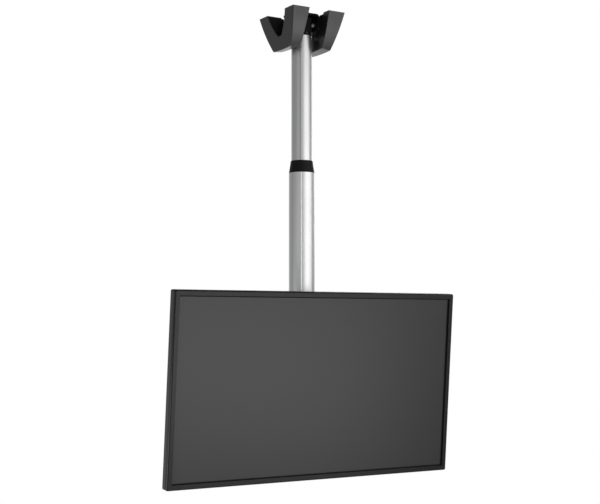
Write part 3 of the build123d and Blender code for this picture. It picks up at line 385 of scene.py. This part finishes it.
# The finish of each material slot
FINISHES = {
    "black_steel": powder_coat("black_powder_coat", tone=0.018, rough=0.46),
    "black_plastic": moulded(
        "satin_black_plastic", tone=0.009, rough=0.33, grain=0.0006, depth=0.00002, sheen=0.7
    ),
    "black_casting": powder_coat("black_casting", tone=0.018, rough=0.5),
    "anodised": anodised("satin_anodised"),
    "zinc": zinc("zinc_plate"),
    "nylon": nylon("natural_nylon"),
    "bezel_plastic": moulded(
        "bezel_plastic", tone=0.008, rough=0.32, grain=0.0005, depth=0.00001, sheen=0.22
    ),
    "screen": screen("anti_glare_screen"),
    "cover_plastic": moulded("textured_cover_plastic", tone=0.024, rough=0.5, grain=0.0009, depth=0.00006),
    "board": board("circuit_board"),
    "terminal": moulded("terminal_plastic", tone=0.03, rough=0.4, grain=0.0006, depth=0.00002),
}

# Pieces with a finish that differs from the rest of their slot
# Painted shade: a darker copy of the black powder coat for the bracket, the head casting and their bolts and
# screws, which sit in shade between the claws.
SHADE_DARKENED_BLACK = powder_coat("shade_darkened_black_coat", tone=0.005, rough=0.55, sheen=0.15)
OWN_FINISHES = {
    "ceiling_bracket": SHADE_DARKENED_BLACK,
    "pole_head": SHADE_DARKENED_BLACK,
    "head_bolts": SHADE_DARKENED_BLACK,
    "cover_screws": SHADE_DARKENED_BLACK,
    "head_bushes": zinc("blasted_zinc", rough=0.65),
    "head_set_screws": powder_coat("black_oxide", tone=0.05, rough=0.35),
    # The upper tube has painted shade in its grooves.
    "inner_tube": anodised("anodised_with_painted_groove_shade", shade_painted_inside=INNER_TUBE_RADIUS - GROOVE_START),
    "collar": moulded(
        "matt_collar_plastic", tone=0.006, rough=0.5, grain=0.0006, depth=0.00002, sheen=0.16
    ),
}


def dress_nodes():
    slot_of = {part["node"]: part["material_slot"] for part in frame["record"]["subparts"]}
    for name, piece in frame["nodes"].items():
        finish = OWN_FINISHES.get(name) or FINISHES[slot_of[name]]
        piece.data.materials.clear()
        piece.data.materials.append(finish.material)


def add_camera():
    data = bpy.data.cameras.new("camera")
    data.sensor_width = SENSOR_WIDTH
    data.lens = LENS
    camera = bpy.data.objects.new("camera", data)
    camera.location = CAMERA_AT
    flat = math.cos(CAMERA_PITCH)
    looking = Vector((math.sin(CAMERA_YAW) * flat, math.cos(CAMERA_YAW) * flat, math.sin(CAMERA_PITCH)))
    camera.rotation_euler = looking.to_track_quat("-Z", "Y").to_euler()
    scene.collection.objects.link(camera)
    scene.camera = camera


def add_softbox(name, azimuth, distance, level, width, height, radiance):
    # A rectangular lamp that faces the column. Its power follows from the radiance of its face.
    data = bpy.data.lights.new(name, "AREA")
    data.shape = "RECTANGLE"
    data.size = width
    data.size_y = height
    data.energy = radiance * math.pi * width * height
    lamp = bpy.data.objects.new(name, data)
    bearing = math.radians(azimuth)
    lamp.location = (math.sin(bearing) * distance, -math.cos(bearing) * distance, level)
    inward = Vector((-lamp.location.x, -lamp.location.y, 0.0))
    lamp.rotation_euler = inward.to_track_quat("-Z", "Y").to_euler()
    lamp.visible_camera = False
    scene.collection.objects.link(lamp)


def add_world():
    # White for the camera. Other rays meet a dim room, a white sweep behind and below, and a dark ceiling.
    world = bpy.data.worlds.new("studio")
    scene.world = world
    world.use_nodes = True
    world.node_tree.nodes.clear()
    studio = Nodes(world.node_tree)
    path = studio.add("ShaderNodeLightPath").outputs
    ray = studio.add("ShaderNodeTexCoord").outputs["Generated"]

    def towards(direction, start, full):
        # How far a ray turns towards a direction, from 0 to 1.
        facing = studio.add("ShaderNodeVectorMath", operation="DOT_PRODUCT")
        facing.inputs[1].default_value = direction
        studio.link(ray, facing.inputs[0])
        cosine = facing.outputs["Value"]
        return studio.between(cosine, 0.0, 1.0, start, full, interpolation_type="SMOOTHSTEP")

    front = towards(FRONT_TOWARDS, FRONT_FROM, FRONT_FULL)
    below = towards(-UP, LOW_FROM, LOW_FULL)
    behind = towards(SWEEP_TOWARDS, SWEEP_FROM, SWEEP_FULL)
    overhead = towards(UP, OVERHEAD_FROM, OVERHEAD_FULL)
    room = studio.mixed_value(below, studio.mixed_value(front, ROOM, FRONT_ROOM), LOW_ROOM)
    sweep = studio.mixed_value(studio.mirrored(path), SWEEP_LIGHT, WHITE)
    lit = studio.mixed_value(overhead, studio.mixed_value(behind, room, sweep), OVERHEAD)
    background = studio.add("ShaderNodeBackground")
    background.inputs["Color"].default_value = (*grey(WHITE), 1.0)
    strength = studio.mixed_value(path["Is Camera Ray"], lit, WHITE)
    studio.link(strength, background.inputs["Strength"])
    output = studio.add("ShaderNodeOutputWorld")
    studio.link(background.outputs["Background"], output.inputs["Surface"])


def add_floor():
    # A pale round floor that fades out at its rim into the white behind it and keeps the object's shadow.
    bpy.ops.mesh.primitive_circle_add(
        vertices=FLOOR_SIDES, radius=FLOOR_RADIUS, fill_type="NGON", location=(0.0, 0.0, FLOOR_LEVEL)
    )
    floor = bpy.context.object
    floor.name = "floor"
    finish = Finish("pale_floor")
    finish.set(Base_Color=(*grey(FLOOR_TONE), 1.0), Roughness=FLOOR_ROUGHNESS)
    away = finish.add("ShaderNodeVectorMath", operation="LENGTH")
    finish.link(finish.place, away.inputs[0])
    alpha = finish.between(away.outputs["Value"], 1.0, 0.0, FLOOR_RADIUS - FLOOR_FADE, FLOOR_RADIUS)
    finish.link(alpha, finish.shader.inputs["Alpha"])
    path = finish.add("ShaderNodeLightPath").outputs
    seen = finish.calculate("MAXIMUM", path["Is Camera Ray"], finish.mirrored(path))
    glow = finish.calculate("MULTIPLY", seen, FLOOR_GLOW)
    finish.set(Emission_Color=(*grey(WHITE), 1.0))
    finish.link(glow, finish.shader.inputs["Emission Strength"])
    floor.data.materials.append(finish.material)


dress_nodes()
add_camera()
add_world()
add_floor()
for softbox, setting in SOFTBOXES.items():
    add_softbox(softbox, **setting)
scene.view_settings.view_transform = "Standard"
